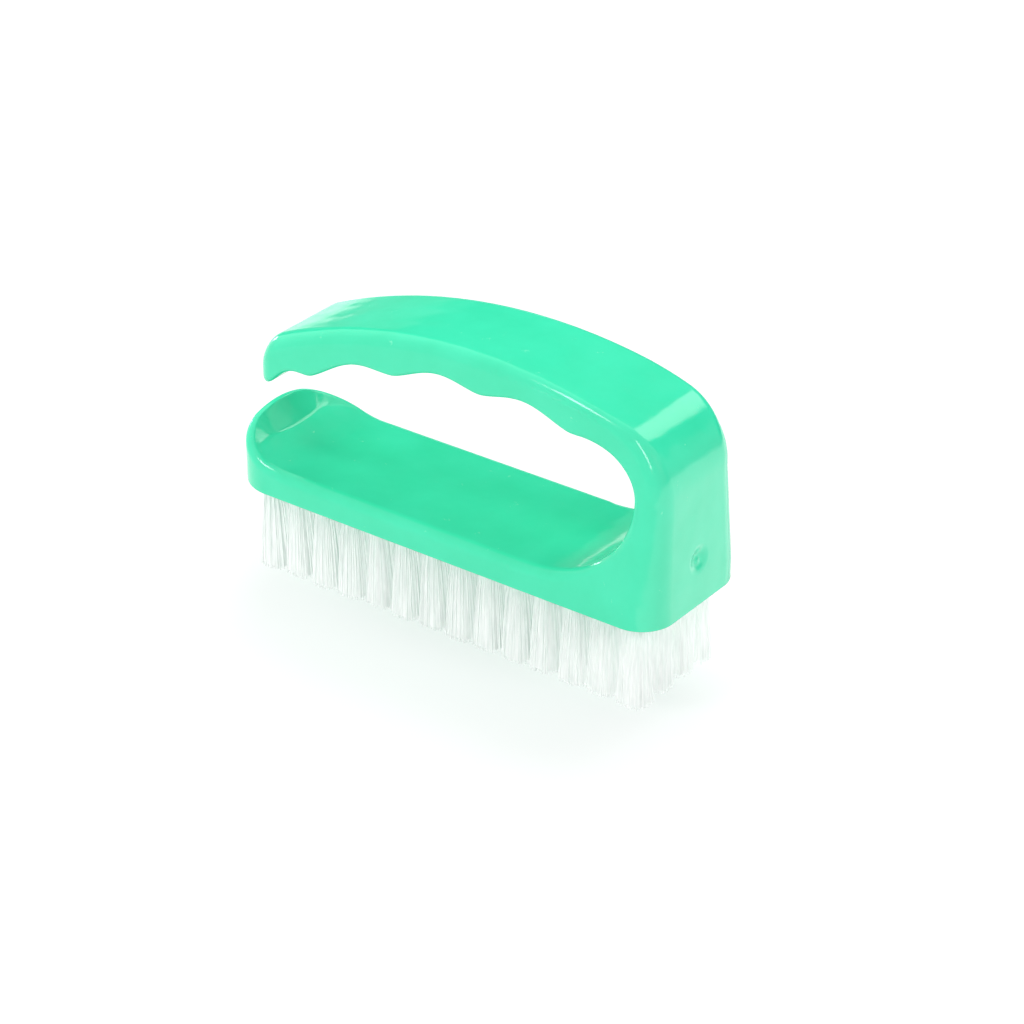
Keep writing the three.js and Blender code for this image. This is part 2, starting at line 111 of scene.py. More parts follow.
def newPiece(name, vertices, faces, material):
    mesh = bpy.data.meshes.new(name)
    mesh.from_pydata([(x * mm, y * mm, z * mm) for x, y, z in vertices], [], faces)
    mesh.materials.append(material)
    piece = bpy.data.objects.new(name, mesh)
    bpy.context.scene.collection.objects.link(piece)
    return piece


def anchorCentre(name):
    low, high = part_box(name)
    return (low + high) / 2 / mm


# Materials

plasticLook = {
    "light": "3cd1a5",
    "deep": "36cb9d",
    "cloud": 11.0,               # size of the faint clouds in the pigment, mm
    "cloudRange": (0.3, 0.7),    # part of the pattern from deep to light
    "paintedReflection": "a6ead2",          # pale specks of painted reflection, standing in for speckled glints of the room in the gloss
    "reflectionSpecks": (0.66, 0.76),      # part of the scuff and sheen pattern that the painted reflection specks take
    "reflectionStrength": 0.45,
    "scuffAndSheen": 2.5,                # soft handling marks in the gloss, and where the painted reflection specks lie, mm
    "scuffRange": (0.35, 0.75),  # part of the pattern from full gloss to dull
    "roughness": (0.07, 0.22),
    "wave": 4.0,                 # slow waves left by the mould, mm
    "waveHeight": 0.09,
    "ior": 1.5,
}


def mouldedPolypropylene():
    # Polypropylene, injection moulded in a polished mould: an even opaque pigment with faint clouds,
    # a clear gloss dulled by handling, pale specks of painted reflection, and reflections that waver a
    # little
    look = plasticLook
    material, tree = newMaterial("mouldedPolypropylene")
    place = addNode(tree, "ShaderNodeTexCoord").outputs["Object"]
    cloud = addNode(tree, "ShaderNodeTexNoise", {
        "Vector": place, "Scale": perSize(look["cloud"]), "Detail": 4.0, "Roughness": 0.6})
    pigment = addNode(tree, "ShaderNodeValToRGB", {"Fac": cloud.outputs["Fac"]},
                      stops=zip(look["cloudRange"], (look["deep"], look["light"])))
    scuffAndSheen = addNode(tree, "ShaderNodeTexNoise", {
        "Vector": place, "Scale": perSize(look["scuffAndSheen"]), "Detail": 6.0, "Roughness": 0.7})
    # pale specks of painted reflection, where the scuff and sheen pattern peaks
    reflectionSpecks = addNode(tree, "ShaderNodeMapRange", {
        "Value": scuffAndSheen.outputs["Fac"], "From Min": look["reflectionSpecks"][0], "From Max": look["reflectionSpecks"][1],
        "To Max": look["reflectionStrength"]})
    # the colours of this node are inputs 6 and 7 and output 2
    colour = addNode(tree, "ShaderNodeMix", {
        0: reflectionSpecks.outputs["Result"], 6: pigment.outputs["Color"], 7: hexLinear(look["paintedReflection"])},
        data_type="RGBA")
    gloss = addNode(tree, "ShaderNodeMapRange", {
        "Value": scuffAndSheen.outputs["Fac"],
        "From Min": look["scuffRange"][0], "From Max": look["scuffRange"][1],
        "To Min": look["roughness"][0], "To Max": look["roughness"][1]})
    waves = addNode(tree, "ShaderNodeTexNoise", {
        "Vector": place, "Scale": perSize(look["wave"]), "Detail": 0.5})
    bump = addNode(tree, "ShaderNodeBump", {
        "Height": waves.outputs["Fac"], "Distance": look["waveHeight"] * mm})
    shader = addNode(tree, "ShaderNodeBsdfPrincipled", {
        "Base Color": colour.outputs[2], "Roughness": gloss.outputs["Result"],
        "Normal": bump.outputs["Normal"], "IOR": look["ior"]})
    addNode(tree, "ShaderNodeOutputMaterial", {"Surface": shader.outputs["BSDF"]})
    return material


nylonLook = {
    "bright": "e3e4e3",
    "shade": "d2d6d4",
    "streak": (0.45, 0.45, 9.0),  # tone along the bristles, mm; a little wider than a filament, to show
    "streakRange": (0.3, 0.65),   # part of the pattern from shade to bright
    "roughness": (0.3, 0.5),
    "ior": 1.5,
    "milkiness": 0.6,             # share of the light that spreads inside the filaments
    "lightReach": 0.4,            # and how far, mm
}


def drawnNylon():
    # Nylon filament, drawn and undyed: milky white, slightly translucent, with a soft satin gloss
    look = nylonLook
    material, tree = newMaterial("drawnNylon")
    place = addNode(tree, "ShaderNodeTexCoord").outputs["Object"]
    stretch = addNode(tree, "ShaderNodeMapping", {
        "Vector": place, "Scale": [perSize(size) for size in look["streak"]]})
    streak = addNode(tree, "ShaderNodeTexNoise", {
        "Vector": stretch.outputs["Vector"], "Scale": 1.0, "Detail": 2.0})
    tone = addNode(tree, "ShaderNodeValToRGB", {"Fac": streak.outputs["Fac"]},
                   stops=zip(look["streakRange"], (look["shade"], look["bright"])))
    satin = addNode(tree, "ShaderNodeMapRange", {
        "Value": streak.outputs["Fac"], "To Min": look["roughness"][0], "To Max": look["roughness"][1]})
    shader = addNode(tree, "ShaderNodeBsdfPrincipled", {
        "Base Color": tone.outputs["Color"], "Roughness": satin.outputs["Result"], "IOR": look["ior"],
        "Subsurface Weight": look["milkiness"], "Subsurface Radius": (1.0, 1.0, 1.0),
        "Subsurface Scale": look["lightReach"] * mm})
    addNode(tree, "ShaderNodeOutputMaterial", {"Surface": shader.outputs["BSDF"]})
    return material


wireLook = {
    "bright": "d8b45c",
    "dull": "b08d3c",
    "drawLines": 0.12,            # mm; real ones are too fine to show
    "lineRange": (0.3, 0.7),      # part of the pattern from dull to bright
    "roughness": (0.25, 0.45),
}


def drawnBrass():
    # Brass wire, drawn flat and left bare: yellow metal with fine lines along it
    look = wireLook
    material, tree = newMaterial("drawnBrass")
    place = addNode(tree, "ShaderNodeTexCoord").outputs["Object"]
    lines = addNode(tree, "ShaderNodeTexNoise", {
        "Vector": place, "Scale": perSize(look["drawLines"]), "Detail": 2.0})
    tone = addNode(tree, "ShaderNodeValToRGB", {"Fac": lines.outputs["Fac"]},
                   stops=zip(look["lineRange"], (look["dull"], look["bright"])))
    worn = addNode(tree, "ShaderNodeMapRange", {
        "Value": lines.outputs["Fac"], "To Min": look["roughness"][0], "To Max": look["roughness"][1]})
    shader = addNode(tree, "ShaderNodeBsdfPrincipled", {
        "Base Color": tone.outputs["Color"], "Roughness": worn.outputs["Result"], "Metallic": 1.0})
    addNode(tree, "ShaderNodeOutputMaterial", {"Surface": shader.outputs["BSDF"]})
    return material


plastic = mouldedPolypropylene()
nylon = drawnNylon()
brass = drawnBrass()
print("materials made")


# Moulded body

body = {
    "noseRadius": 8.5,
    "heelRadius": 6.2,
    "deckEdge": 1.9,
    "underEdge": 0.2,      # small radius round the lower rim
    "deckRise": 5.1,       # deck above the under face
    "lipRise": 6.1,
    "lipRun": 23.5,        # along the outline, from the middle of the nose to where the lip dies out
    "lipWall": 1.5,
    "lipFoot": 5.2,
    "lipFootPower": 1.25,  # above 1 the foot of the lip is hollow
    "creaseBlend": 0.2,    # softens the line where wall and ramp meet
    "lipEdge": 0.9,
    "gapHeight": 26.2,
    "handleWidth": 21.0,
    "tipWidth": 20.2,
    "archRadius": 107.0,
    "archCrestX": 7.2,
    "knuckleRadius": 102.0,
    "knuckleCrestX": 10.0,
    "topEdge": 1.8,
    "tipTopEdge": 3.3,     # fuller towards the free end
    "tipTopShare": 0.6,    # of the height at the tip, at most
    "tipUnderShare": 0.3,
    "underHandleEdge": 0.8,
    "tipSetback": 3.9,
    "tipTopRadius": 4.8,
    "tipBeakRadius": 4.3,
    "tipPlanRadius": 4.0,
    "fingerCount": 3,
    "fingerPitch": 18.1,
    "fingerDepth": 1.65,
    "fingerFullness": 0.8,    # below 1 the grooves are wide and the knuckles narrow
    "firstKnuckleRun": 13.7,  # from the inner face of the post
    "notchStart": 1.9,     # plain stretch of the beak before the notch
    "notchDepth": 1.6,
    "postThickness": 5.5,
    "shoulderRadius": 12.2,
    "postEdge": 4.6,
    "gapFootRun": 20.5,    # lower corner of the finger gap
    "gapFootRise": 16.8,
    "gapHeadRun": 11.3,    # upper corner
    "gapEdge": 1.2,
    "postDraft": 0.027,    # lean of the end face for each unit of height
    "flareRise": 23.8,     # the post widens to the block from here above the deck
    "flareDrop": 1.3,      # to here below it
    "gateDiameter": 5.8,
    "gateRise": 3.5,
    "gateDepth": 0.85,
    "nubHeight": 0.32,     # left in the gate's dish
    "nubPlace": (0.25, -0.45),
    "nubSpread": 0.3,      # square mm
    "holeDiameter": 2.4,
    "holeDepth": 3.4,
    "holeChamfer": 0.12,
    "weld": 0.002,         # points closer than this become one
    "faceTouch": 0.0001,   # points closer than this to the end plane lie on it
    "sharpAngle": 38.0,    # degrees
}

endX = bodyHigh.x
noseX = bodyLow.x
blockHalf = bodyHigh.y
underZ = bodyLow.z
crestZ = bodyHigh.z
bottomZ = underZ + body["underEdge"]
deckZ = underZ + body["deckRise"]
knuckleZ = deckZ + body["gapHeight"]
tipX = noseX + body["tipSetback"]
gapEndX = endX - body["postThickness"]
gapMidZ = deckZ + body["gapFootRise"]
gapFootX = gapEndX - body["gapFootRun"]
gapHeadX = gapEndX - body["gapHeadRun"]
lastKnuckleX = gapEndX - body["firstKnuckleRun"] - body["fingerCount"] * body["fingerPitch"]
noseCornerX = noseX + body["noseRadius"]
noseCornerY = blockHalf - body["noseRadius"]
noseCornerRun = body["noseRadius"] * math.pi / 2
lipEndX = noseCornerX + body["lipRun"] - noseCornerY - noseCornerRun

edgeSteps = 10     # points round an edge
flatSteps = 6      # points up a flat side
acrossSteps = 34   # points from a side to the middle


def roundDrop(radius, depth):
    reach = clamp(radius - depth, 0, radius)
    return radius - math.sqrt(radius * radius - reach * reach)


def roundDepths(radius, count):
    return [radius * (1 - math.cos(k / (count - 1) * math.pi / 2)) for k in range(count)]


def arcDrop(radius, run):
    return radius - math.sqrt(radius * radius - run * run)


def handleTopZ(x):
    arch = arcDrop(body["archRadius"], x - body["archCrestX"])
    return crestZ - arch - roundDrop(body["tipTopRadius"], x - tipX)


def wave(turns):
    return (0.5 - 0.5 * math.cos(2 * math.pi * turns)) ** body["fingerFullness"]


def handleUnderZ(x):
    if x > lastKnuckleX:
        groove = body["fingerDepth"] * wave((x - lastKnuckleX) / body["fingerPitch"])
    else:
        notchRun = lastKnuckleX - tipX - body["notchStart"]
        groove = body["notchDepth"] * wave(min((lastKnuckleX - x) / notchRun, 1))
    arch = arcDrop(body["knuckleRadius"], x - body["knuckleCrestX"])
    return knuckleZ - arch + groove + roundDrop(body["tipBeakRadius"], x - tipX)


def handleHalf(x):
    taper = (x - tipX) / (gapHeadX - tipX)
    width = lerp(body["tipWidth"], body["handleWidth"], taper)
    return width / 2 - roundDrop(body["tipPlanRadius"], x - tipX)


def handleEdges(x):
    # top and under edge, as full as the tip has room for
    height = handleTopZ(x) - handleUnderZ(x)
    top = lerp(body["tipTopEdge"], body["topEdge"], (x - tipX) / (gapHeadX - tipX))
    under = min(body["underHandleEdge"], body["tipUnderShare"] * height)
    return min(top, body["tipTopShare"] * height), under


def sideAtHeight(z):
    flare = clamp((deckZ + body["flareRise"] - z) / (body["flareRise"] + body["flareDrop"]), 0, 1)
    return lerp(body["handleWidth"] / 2, blockHalf, flare)


def noseHalf(x):
    return blockHalf - roundDrop(body["noseRadius"], x - noseX)


def noseOutline(x, y):
    # distance in from the outline, and the run along it from the middle of the nose
    across = abs(y)
    if across <= noseCornerY and x <= noseCornerX + noseCornerY - across:
        return x - noseX, across
    if x >= noseCornerX:
        return blockHalf - across, noseCornerY + noseCornerRun + x - noseCornerX
    angle = math.atan2(max(across - noseCornerY, 0), noseCornerX - x)
    depth = body["noseRadius"] - math.hypot(noseCornerX - x, across - noseCornerY)
    return depth, noseCornerY + body["noseRadius"] * angle


def lipHeight(run):
    if run >= body["lipRun"]:
        return 0.0
    return body["lipRise"] * (0.5 + 0.5 * math.cos(math.pi * run / body["lipRun"]))


def deckEdgeAt(run):
    return lerp(body["deckEdge"], body["lipEdge"], math.sqrt(lipHeight(run) / body["lipRise"]))


def deckTopZ(x, y):
    depth, run = noseOutline(x, y)
    rise = clamp((body["lipWall"] + body["lipFoot"] - depth) / body["lipFoot"], 0, 1)
    wall = lipHeight(run) * rise ** body["lipFootPower"]
    ramp = lipHeight(body["lipRun"] - lipEndX + x)
    near = max(body["creaseBlend"] - abs(wall - ramp), 0) / body["creaseBlend"]
    soft = near * near * body["creaseBlend"] / 4 * clamp(lipHeight(run) - ramp, 0, 1)
    return deckZ + max(wall, ramp) + soft - roundDrop(deckEdgeAt(run), depth)


def leanPost(point):
    # the draft of the mould leans the post in towards its top
    x, y, z = point
    share = clamp((x - gapFootX) / (endX - gapFootX), 0, 1)
    return (x - body["postDraft"] * (z - underZ) * share * share, y, z)


def ringOf(side):
    mirrored = [(x, -y, z) for x, y, z in reversed(side[:-1])]
    return side + mirrored


def bandRing(outer, inner, outerDepths, outerEdge, innerEdge, innerSlant, halfWidth):
    # section from a point of the outer face to one of the inner face, with its edges rounded
    length = (outer - inner).length
    flatEnd = length - innerEdge / innerSlant
    steps = [(depth, 0.0) for depth in outerDepths]
    steps += [(lerp(outerDepths[-1], flatEnd, (k + 1) / (flatSteps + 1)), 0.0) for k in range(flatSteps)]
    steps += [(length - depth / innerSlant, roundDrop(innerEdge, depth))
              for depth in reversed(roundDepths(innerEdge, edgeSteps))]
    side = []
    for along, cut in steps:
        place = outer.lerp(inner, along / length)
        side.append((place.x, halfWidth(place) - cut - outerEdge(place), place.y))
    x, y, z = side[-1]
    side += [(x, y * (1 - (k + 1) / acrossSteps), z) for k in range(acrossSteps)]
    return ringOf(side)


def handleRings():
    tipCount, straightCount = 16, 150
    tipSteps = [tipX + depth for depth in roundDepths(body["tipTopRadius"], tipCount)]
    start = tipSteps[-1]
    straight = [lerp(start, gapHeadX, (i + 1) / straightCount) for i in range(straightCount)]
    rings = []
    for x in tipSteps + straight:
        top = handleTopZ(x)
        topEdge, underEdge = handleEdges(x)
        rings.append(bandRing(
            Vector((x, top)), Vector((x, handleUnderZ(x))), roundDepths(topEdge, edgeSteps),
            lambda place: roundDrop(topEdge, top - place.y), underEdge, 1.0,
            lambda place: handleHalf(x)))
    return rings


shoulderX = endX - body["shoulderRadius"]
shoulderReach = body["archRadius"] - body["shoulderRadius"]
shoulderOut = shoulderX - body["archCrestX"]
shoulderZ = crestZ - body["archRadius"] + math.sqrt(shoulderReach ** 2 - shoulderOut ** 2)
shoulderAngle = math.asin(shoulderOut / shoulderReach)
headAngle = math.asin((gapHeadX - body["archCrestX"]) / body["archRadius"])
archRun = body["archRadius"] * (shoulderAngle - headAngle)
shoulderRun = body["shoulderRadius"] * (math.pi / 2 - shoulderAngle)
headRun = archRun + shoulderRun + shoulderZ - gapMidZ


def shoulderPoint(run):
    # outer face from the arch over the shoulder, by the run along it
    if run < archRun:
        angle = headAngle + run / body["archRadius"]
        centre = Vector((body["archCrestX"], crestZ - body["archRadius"]))
        return centre + body["archRadius"] * Vector((math.sin(angle), math.cos(angle))), angle
    angle = min(shoulderAngle + (run - archRun) / body["shoulderRadius"], math.pi / 2)
    below = max(run - archRun - shoulderRun, 0)
    centre = Vector((shoulderX, shoulderZ - below))
    return centre + body["shoulderRadius"] * Vector((math.sin(angle), math.cos(angle))), angle


def shoulderRings():
    count = 60
    rise = handleUnderZ(gapHeadX) - gapMidZ
    rings = []
    for i in range(count):
        share = (i + 1) / count
        turn = share * math.pi / 2
        outer, angle = shoulderPoint(share * headRun)
        inner = Vector((gapHeadX + body["gapHeadRun"] * math.sin(turn), gapMidZ + rise * math.cos(turn)))
        outward = Vector((math.sin(angle), math.cos(angle)))
        slant = (outer - inner).normalized().dot(outward)
        edge = lerp(body["topEdge"], body["postEdge"], share * share)
        rings.append(bandRing(
            outer, inner, [depth / slant for depth in roundDepths(edge, edgeSteps)],
            lambda place: roundDrop(edge, (outer - place).dot(outward)),
            lerp(body["underHandleEdge"], body["gapEdge"], share), slant,
            lambda place: sideAtHeight(place.y)))
    return rings


def gapFootPoint(turn):
    return Vector((gapFootX + body["gapFootRun"] * math.cos(turn),
                   gapMidZ - body["gapFootRise"] * math.sin(turn)))


def gapFootSlant(turn, outer, inner):
    normal = Vector((math.cos(turn) / body["gapFootRun"], -math.sin(turn) / body["gapFootRise"]))
    return (outer - inner).normalized().dot(normal.normalized())


def postRings():
    # down the post to its lower corner, then back along the under face
    downCount, backCount = 44, 50
    cornerTurn = math.pi / 4
    rings = []
    for i in range(downCount):
        share = (i + 1) / downCount
        turn = share * cornerTurn
        outer = Vector((endX, lerp(gapMidZ, bottomZ, share)))
        inner = gapFootPoint(turn)
        level = (endX - inner.x) / (outer - inner).length
        stretch = min(1 / level, math.sqrt(2))
        edge = lerp(body["postEdge"], body["heelRadius"], share)
        rings.append(bandRing(
            outer, inner, [depth * stretch for depth in roundDepths(edge, edgeSteps)],
            lambda place: roundDrop(edge, endX - place.x),
            lerp(body["gapEdge"], body["deckEdge"], share / 2), gapFootSlant(turn, outer, inner),
            lambda place: sideAtHeight(place.y)))
    for i in range(backCount):
        share = (i + 1) / backCount
        turn = lerp(cornerTurn, math.pi / 2, share)
        outer = Vector((lerp(endX, gapFootX, share * share), bottomZ))
        inner = gapFootPoint(turn)
        reach = max(body["heelRadius"] - (endX - outer.x), body["underEdge"])
        room = (outer - inner).length / 2
        rings.append(bandRing(
            outer, inner, [min(depth * math.sqrt(2), room) for depth in roundDepths(reach, edgeSteps)],
            lambda place: roundDrop(body["heelRadius"], endX - place.x),
            lerp(body["gapEdge"], body["deckEdge"], (1 + share) / 2), gapFootSlant(turn, outer, inner),
            lambda place: sideAtHeight(place.y)))
    return rings, downCount


def blockRings():
    deckCount, lipCount, lipGrowth, columnGrowth = 50, 56, 1.5, 1.4
    lipEdgeX = noseX + body["lipEdge"]
    deckSteps = [lerp(gapFootX, lipEndX, (i + 1) / deckCount) for i in range(deckCount)]
    lipSteps = [lerp(lipEdgeX, lipEndX, (1 - (i + 1) / lipCount) ** lipGrowth)
                for i in range(lipCount - 1)]
    edgeX = [noseX + depth for depth in reversed(roundDepths(body["lipEdge"], edgeSteps))]
    rings = []
    for x in deckSteps + lipSteps + edgeX:
        half = noseHalf(x)
        edge = deckEdgeAt(noseOutline(x, half)[1])
        wallTop = deckTopZ(x, half)
        wallCount = edgeSteps + flatSteps
        side = [(x, half, lerp(bottomZ, wallTop, k / wallCount)) for k in range(wallCount)]
        insets = [roundDrop(edge, depth) for depth in reversed(roundDepths(edge, edgeSteps))]
        room = half - edge
        insets += [edge + room * ((k + 1) / acrossSteps) ** columnGrowth for k in range(acrossSteps)]
        side += [(x, half - inset, deckTopZ(x, half - inset)) for inset in insets]
        rings.append(ringOf(side))
    return rings


def buildBody():
    # one skin of cross sections from the free end of the handle, over the shoulder,
    # down the post and along the block to its nose
    handle, shoulder, block = handleRings(), shoulderRings(), blockRings()
    post, downCount = postRings()
    rings = handle + shoulder + post + block
    size = len(rings[0])
    endStart = next(i for i, ring in enumerate(rings)
                    if i >= len(handle) and ring[0][0] > endX - body["faceTouch"])
    corner = len(handle) + len(shoulder) + downCount - 1
    vertices = [leanPost(point) for ring in rings for point in ring]
    faces = []

    def addLoop(points):
        first = len(vertices)
        vertices.extend(points)
        return list(range(first, first + len(points)))

    def bridge(loopA, loopB):
        for k in range(len(loopA)):
            n = (k + 1) % len(loopA)
            faces.append((loopA[k], loopA[n], loopB[n], loopB[k]))

    def fill(loops):
        order = [index for loop in loops for index in loop]
        for triangle in tessellate_polygon([[Vector(vertices[i]) for i in loop] for loop in loops]):
            faces.append(tuple(order[k] for k in triangle))

    # skin between neighbouring rings; the end face and the under face are left open
    for i in range(len(rings) - 1):
        for k in range(size):
            if k == size - 1 and i >= endStart:
                continue
            a, b = i * size + k, i * size + (k + 1) % size
            faces.append((a, b, b + size, a + size))

    # free end of the handle, and the nose
    fill([list(range(size))])
    fill([list(range((len(rings) - 1) * size, len(rings) * size))])

    def rimLoop(first, last):
        far = [i * size for i in range(first, last + 1)]
        near = [i * size + size - 1 for i in range(last, first - 1, -1)]
        return far + near

    # end face, with the dish of the moulding gate and the nub that is left in it
    gateRadius, gateSides, gateSteps = body["gateDiameter"] / 2, 40, 12
    gateZ = deckZ + body["gateRise"]
    gateLoops = []
    for step in range(gateSteps):
        share = 1 - step / gateSteps
        loop = []
        for k in range(gateSides):
            angle = 2 * math.pi * k / gateSides
            y, z = gateRadius * share * math.cos(angle), gateRadius * share * math.sin(angle)
            dish = body["gateDepth"] * (0.5 + 0.5 * math.cos(math.pi * share))
            away = (y - body["nubPlace"][0]) ** 2 + (z - body["nubPlace"][1]) ** 2
            nub = body["nubHeight"] * math.exp(-away / body["nubSpread"])
            fade = 1 - share ** 4
            faceX, _, _ = leanPost((endX, y, gateZ + z))
            loop.append((faceX - dish + nub * fade, y, gateZ + z))
        gateLoops.append(addLoop(loop))
    for outerLoop, innerLoop in zip(gateLoops, gateLoops[1:]):
        bridge(outerLoop, innerLoop)
    faces.append(tuple(gateLoops[-1]))
    fill([rimLoop(endStart, corner), gateLoops[0]])

    # rounded lower rim
    rim = rimLoop(corner, len(rings) - 1)
    outline = [Vector(vertices[i][:2]) for i in rim]
    inward = []
    for k, point in enumerate(outline):
        before = (point - outline[k - 1]).normalized()
        after = (outline[(k + 1) % len(outline)] - point).normalized()
        along = (before + after).normalized()
        inward.append(Vector((-along.y, along.x)))
    rimSteps = 5
    for step in range(1, rimSteps + 1):
        turn = step / rimSteps * math.pi / 2
        inset = body["underEdge"] * (1 - math.cos(turn))
        z = bottomZ - body["underEdge"] * math.sin(turn)
        loop = addLoop([(*(point + side * inset), z) for point, side in zip(outline, inward)])
        bridge(rim, loop)
        rim = loop

    # blind tuft holes in the under face
    holeLoops, holeSides = [], 20
    holeRadius = body["holeDiameter"] / 2
    for name in anchorNames:
        centre = anchorCentre(name)
        loops = []
        for radius, z in ((holeRadius + body["holeChamfer"], underZ),
                          (holeRadius, underZ + body["holeChamfer"]),
                          (holeRadius, underZ + body["holeDepth"])):
            loops.append(addLoop([(centre.x + radius * math.cos(2 * math.pi * k / holeSides),
                                   centre.y + radius * math.sin(2 * math.pi * k / holeSides), z)
                                  for k in range(holeSides)]))
        bridge(loops[0], loops[1])
        bridge(loops[1], loops[2])
        faces.append(tuple(loops[2]))
        holeLoops.append(loops[0])
    fill([rim] + holeLoops)

    piece = newPiece("mouldedBody", vertices, faces, plastic)
    mesh = bmesh.new()
    mesh.from_mesh(piece.data)
    bmesh.ops.remove_doubles(mesh, verts=mesh.verts, dist=body["weld"] * mm)
    bmesh.ops.recalc_face_normals(mesh, faces=mesh.faces)
    mesh.to_mesh(piece.data)
    mesh.free()
    piece.data.shade_smooth()
    piece.data.set_sharp_from_angle(angle=math.radians(body["sharpAngle"]))
    weighted = piece.modifiers.new("flatFacesLead", "WEIGHTED_NORMAL")
    weighted.keep_sharp = True
    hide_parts("moulded_body")
    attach(piece, "root")
    return piece


mouldedBody = buildBody()
print("moulded body:", len(mouldedBody.data.polygons), "faces")


# Bristles: tufts of fine filaments, packed in their holes and opening towards the tips

bristles = {
    "perTuft": 210,
    "radius": 0.13,
    "sides": 4,
    "bends": (0.0, 0.35, 0.7),  # shares of a filament's length where it bends
    "tipTaper": (0.99, 0.7),    # its rounded tip: share of the length where it starts, width at the end
    "bow": (-0.06, 0.12),       # from curving out early to curving out late
    "rootSpread": 1.1,
    "rootDepth": 1.7,           # inside the hole, below the anchor
    "tipSpread": (2.95, 2.6),   # along and across the rows
    "squareness": 3.0,          # of the tips, which press against the next tufts; 2 is round
    "flare": 0.5,               # below 1 the tuft opens early
    "sweep": (0.15, -0.6),      # use has bent all tips a little this way
    "skew": 0.118,              # and, towards the nose, each row's tips past the next, for each mm across
    "crown": 0.15,              # outer tips end this much higher
    "ragged": 0.35,
    "tuftLean": 0.25,
    "strayLean": 0.15,
    "angleJitter": 0.12,        # radians round the tuft
    "packed": 0.8,              # share of the tuft's radius where the filaments lie side by side
    "packedEnd": 0.9,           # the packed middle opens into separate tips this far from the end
    "packedStart": 0.85,        # share of their length where those tips start
    "packedSides": 20,
    "packedSteps": 4,
    "sharpAngle": 80.0,         # degrees
    "seed": 4117,
}


def squareReach(angle):
    # how far a squarish outline reaches out at an angle, where a round one reaches 1
    power = bristles["squareness"]
    return (abs(math.cos(angle)) ** power + abs(math.sin(angle)) ** power) ** (-1 / power)


def addTube(vertices, faces, stations, sides, twist):
    # closed tube through stations of (x, y, z, radius along x, radius along y, share of squareness)
    first = len(vertices)
    for x, y, z, radiusX, radiusY, square in stations:
        for k in range(sides):
            angle = twist + 2 * math.pi * k / sides
            reach = lerp(1, squareReach(angle), square)
            vertices.append((x + radiusX * reach * math.cos(angle),
                             y + radiusY * reach * math.sin(angle), z))
    for ring in range(len(stations) - 1):
        for k in range(sides):
            a = first + ring * sides + k
            b = first + ring * sides + (k + 1) % sides
            faces.append((a, a + sides, b + sides, b))
    last = first + (len(stations) - 1) * sides
    faces.append(tuple(first + k for k in range(sides)))
    faces.append(tuple(last + k for k in reversed(range(sides))))


def filamentStations(root, tip, bow, start):
    tipStart, tipWidth = bristles["tipTaper"]
    shape = [(lerp(start, 1, bend), 1.0) for bend in bristles["bends"]]
    shape += [(tipStart, 1.0), (1.0, tipWidth)]
    stations = []
    for share, width in shape:
        opened = lerp(share ** bristles["flare"], share * share, bow)
        radius = bristles["radius"] * width
        stations.append((lerp(root.x, tip.x, opened), lerp(root.y, tip.y, opened),
                         lerp(root.z, tip.z, share), radius, radius, 0))
    return stations


def addTuft(vertices, faces, centre, rng):
    goldenAngle = math.pi * (3 - math.sqrt(5))
    lean = Vector((rng.uniform(-1, 1), rng.uniform(-1, 1))) * bristles["tuftLean"]
    noseShare = (endX - centre.x) / (endX - noseX)
    lean += Vector(bristles["sweep"]) - Vector((bristles["skew"] * noseShare * centre.y, 0))
    middle = Vector((centre.x, centre.y))
    spreadX, spreadY = bristles["tipSpread"]
    rootZ = underZ + bristles["rootDepth"]
    endZ = bristles["packedEnd"]
    core = []
    for k in range(bristles["packedSteps"] + 1):
        share = k / bristles["packedSteps"]
        place = middle + lean * share
        opened = share ** bristles["flare"]
        radii = [lerp(bristles["rootSpread"], spread, opened) - bristles["radius"]
                 for spread in (spreadX, spreadY)]
        core.append((*place, lerp(rootZ, endZ, share), *radii, opened))
    addTube(vertices, faces, core, bristles["packedSides"], 0)
    for k in range(bristles["perTuft"]):
        share = math.sqrt((k + 0.5) / bristles["perTuft"])
        angle = k * goldenAngle + rng.uniform(-bristles["angleJitter"], bristles["angleJitter"])
        out = Vector((math.cos(angle), math.sin(angle)))
        stray = Vector((rng.uniform(-1, 1), rng.uniform(-1, 1))) * bristles["strayLean"]
        foot = middle + out * share * bristles["rootSpread"]
        reach = share * squareReach(angle)
        end = middle + lean + Vector((out.x * spreadX, out.y * spreadY)) * reach + stray
        tipZ = bristles["crown"] * share ** 3 + rng.uniform(0, bristles["ragged"]) * share
        start = 0.0 if share > bristles["packed"] else bristles["packedStart"]
        stations = filamentStations(Vector((*foot, rootZ)), Vector((*end, tipZ)),
                                    rng.uniform(*bristles["bow"]), start)
        addTube(vertices, faces, stations, bristles["sides"], rng.uniform(0, math.pi))


def buildBristleRow(row, node):
    rng = random.Random(bristles["seed"] + row)
    vertices, faces = [], []
    for name in anchorNames:
        if name.startswith(f"anchor_r{row}_"):
            addTuft(vertices, faces, anchorCentre(name), rng)
    piece = newPiece(f"bristleRow{row}", vertices, faces, nylon)
    piece.data.shade_smooth()
    piece.data.set_sharp_from_angle(angle=math.radians(bristles["sharpAngle"]))
    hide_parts(node)
    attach(piece, "root")
    # nylon this fine lets the light through to the inner rows
    piece.visible_shadow = False
    piece.visible_diffuse = False
    return piece


for node, rows in (("tufts_rows_1_2", (1, 2)), ("tufts_rows_3_4", (3, 4))):
    for row in rows:
        piece = buildBristleRow(row, node)
        print("bristle row", row, ":", len(piece.data.polygons), "faces")

# Anchors stay as they are, in bare brass
for name in anchorNames:
    anchor = frame["nodes"][name]
    anchor.data.materials.clear()
    anchor.data.materials.append(brass)
print("anchors:", len(anchorNames))


# Studio

